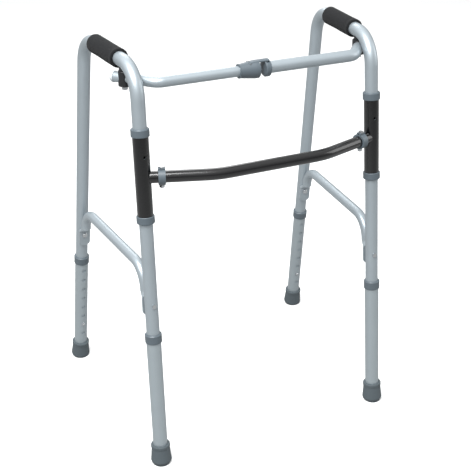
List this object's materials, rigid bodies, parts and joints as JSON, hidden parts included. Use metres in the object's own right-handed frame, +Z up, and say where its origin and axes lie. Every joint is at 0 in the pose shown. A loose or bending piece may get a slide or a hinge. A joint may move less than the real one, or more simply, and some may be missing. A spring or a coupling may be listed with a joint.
{
  "type": "folding walking frame",
  "caption": "Folding walking frame: foam-gripped side frames on telescoping legs hinge in a bowed front cross member, tied by a top bar with a centre clip",
  "frame": {"origin": "middle of the footprint on the floor, the bottom centre of the bounding box", "axes": "+Z up, -Y front, the side that the user walks towards, +X right as seen from the front"},
  "size_m": [0.6066, 0.4788, 0.8058],
  "materials": {
    "frame_tube": "satin pale blue-grey anodised tube",
    "leg_tube": "satin drawn tube",
    "dark_steel": "charcoal hammertone gloss powder coat",
    "grey_plastic": "moulded mid-grey plastic",
    "dark_plastic": "moulded near-black plastic",
    "pale_plastic": "moulded pale plastic cap",
    "foam": "closed-cell charcoal foam",
    "tip_rubber": "moulded grey rubber",
    "bright_steel": "zinc-plated steel"
  },
  "bodies": {
    "front_frame": {"front_crossbar": "dark_steel", "left_sleeve": "dark_steel", "right_sleeve": "dark_steel", "left_sleeve_bushes": "grey_plastic", "right_sleeve_bushes": "grey_plastic", "crossbar_clamps": "grey_plastic", "clamp_bolts": "bright_steel", "clamp_nuts": "bright_steel"},
    "left_side": {"left_side_frame": "frame_tube", "left_grip": "foam", "left_brace": "frame_tube", "left_brace_rivets": "bright_steel", "left_pivot_saddle": "dark_plastic", "left_pivot_bolt": "bright_steel", "left_pivot_nut": "bright_steel", "left_button_springs": "bright_steel"},
    "left_bar": {"left_top_bar": "leg_tube", "left_bar_cap": "pale_plastic", "left_pivot_bracket": "dark_plastic", "latch_cone": "grey_plastic", "clip_pin": "bright_steel"},
    "left_front_leg": {"left_front_leg_tube": "leg_tube", "left_front_guide_collar": "grey_plastic", "left_front_tip": "tip_rubber"},
    "left_front_snap": {"left_front_button": "bright_steel"},
    "left_rear_leg": {"left_rear_leg_tube": "leg_tube", "left_rear_guide_collar": "grey_plastic", "left_rear_tip": "tip_rubber"},
    "left_rear_snap": {"left_rear_button": "bright_steel"},
    "right_side": {"right_side_frame": "frame_tube", "right_grip": "foam", "right_brace": "frame_tube", "right_brace_rivets": "bright_steel", "right_pivot_saddle": "dark_plastic", "right_pivot_bolt": "bright_steel", "right_pivot_nut": "bright_steel", "right_button_springs": "bright_steel"},
    "right_bar": {"right_top_bar": "leg_tube", "right_bar_cap": "pale_plastic", "right_pivot_bracket": "dark_plastic", "latch_ring": "grey_plastic"},
    "right_front_leg": {"right_front_leg_tube": "leg_tube", "right_front_guide_collar": "grey_plastic", "right_front_tip": "tip_rubber"},
    "right_front_snap": {"right_front_button": "bright_steel"},
    "right_rear_leg": {"right_rear_leg_tube": "leg_tube", "right_rear_guide_collar": "grey_plastic", "right_rear_tip": "tip_rubber"},
    "right_rear_snap": {"right_rear_button": "bright_steel"},
    "latch_clip": {"latch_clip": "grey_plastic"}
  },
  "joints": [
    {"name": "left_fold", "type": "hinge", "parent": "front_frame", "child": "left_side", "pos_m": [-0.23809, -0.16102, 0.59707], "axis": [0.0157, 0.0974, 0.9951], "range_deg": [-80, 0], "deforming": ["latch_clip"]},
    {"name": "left_bar_swing", "type": "hinge", "parent": "left_side", "child": "left_bar", "pos_m": [-0.23971, -0.09357, 0.75779], "axis": [0.0235, 0.0019, 0.9997], "range_deg": [0, 90], "deforming": ["latch_clip"]},
    {"name": "left_front_height", "type": "slide", "parent": "left_side", "child": "left_front_leg", "axis": [0.0157, 0.0974, 0.9951], "range_m": [-0.1524, 0.0254], "deforming": ["left_front_button"]},
    {"name": "left_front_press", "type": "slide", "parent": "left_side", "child": "left_front_snap", "axis": [-0.0821, 0.992, -0.0958], "range_m": [-0.0045, 0], "stiffness_N_per_m": 800, "springref_m": 0.002, "deforming": ["left_button_springs"]},
    {"name": "left_rear_height", "type": "slide", "parent": "left_side", "child": "left_rear_leg", "axis": [0.0361, -0.1592, 0.9866], "range_m": [-0.1524, 0.0254], "deforming": ["left_rear_button"]},
    {"name": "left_rear_press", "type": "slide", "parent": "left_side", "child": "left_rear_snap", "axis": [0.0753, -0.984, -0.1616], "range_m": [-0.0045, 0], "stiffness_N_per_m": 800, "springref_m": 0.002, "deforming": ["left_button_springs"]},
    {"name": "right_fold", "type": "hinge", "parent": "front_frame", "child": "right_side", "pos_m": [0.23809, -0.16102, 0.59707], "axis": [-0.0157, 0.0974, 0.9951], "range_deg": [0, 80], "deforming": ["latch_clip"]},
    {"name": "right_bar_swing", "type": "hinge", "parent": "right_side", "child": "right_bar", "pos_m": [0.23971, -0.09357, 0.75779], "axis": [-0.0235, 0.0019, 0.9997], "range_deg": [-90, 0], "deforming": ["latch_clip"]},
    {"name": "right_front_height", "type": "slide", "parent": "right_side", "child": "right_front_leg", "axis": [-0.0157, 0.0974, 0.9951], "range_m": [-0.1524, 0.0254], "deforming": ["right_front_button"]},
    {"name": "right_front_press", "type": "slide", "parent": "right_side", "child": "right_front_snap", "axis": [0.0821, 0.992, -0.0958], "range_m": [-0.0045, 0], "stiffness_N_per_m": 800, "springref_m": 0.002, "deforming": ["right_button_springs"]},
    {"name": "right_rear_height", "type": "slide", "parent": "right_side", "child": "right_rear_leg", "axis": [-0.0361, -0.1592, 0.9866], "range_m": [-0.1524, 0.0254], "deforming": ["right_rear_button"]},
    {"name": "right_rear_press", "type": "slide", "parent": "right_side", "child": "right_rear_snap", "axis": [-0.0753, -0.984, -0.1616], "range_m": [-0.0045, 0], "stiffness_N_per_m": 800, "springref_m": 0.002, "deforming": ["right_button_springs"]},
    {"name": "clip_lift", "type": "hinge", "parent": "left_bar", "child": "latch_clip", "pos_m": [-0.022, -0.1436, 0.77], "axis": [0, -1, 0], "range_deg": [0, 35], "stiffness_Nm_per_rad": 0.05, "springref_deg": -2.86}
  ]
}
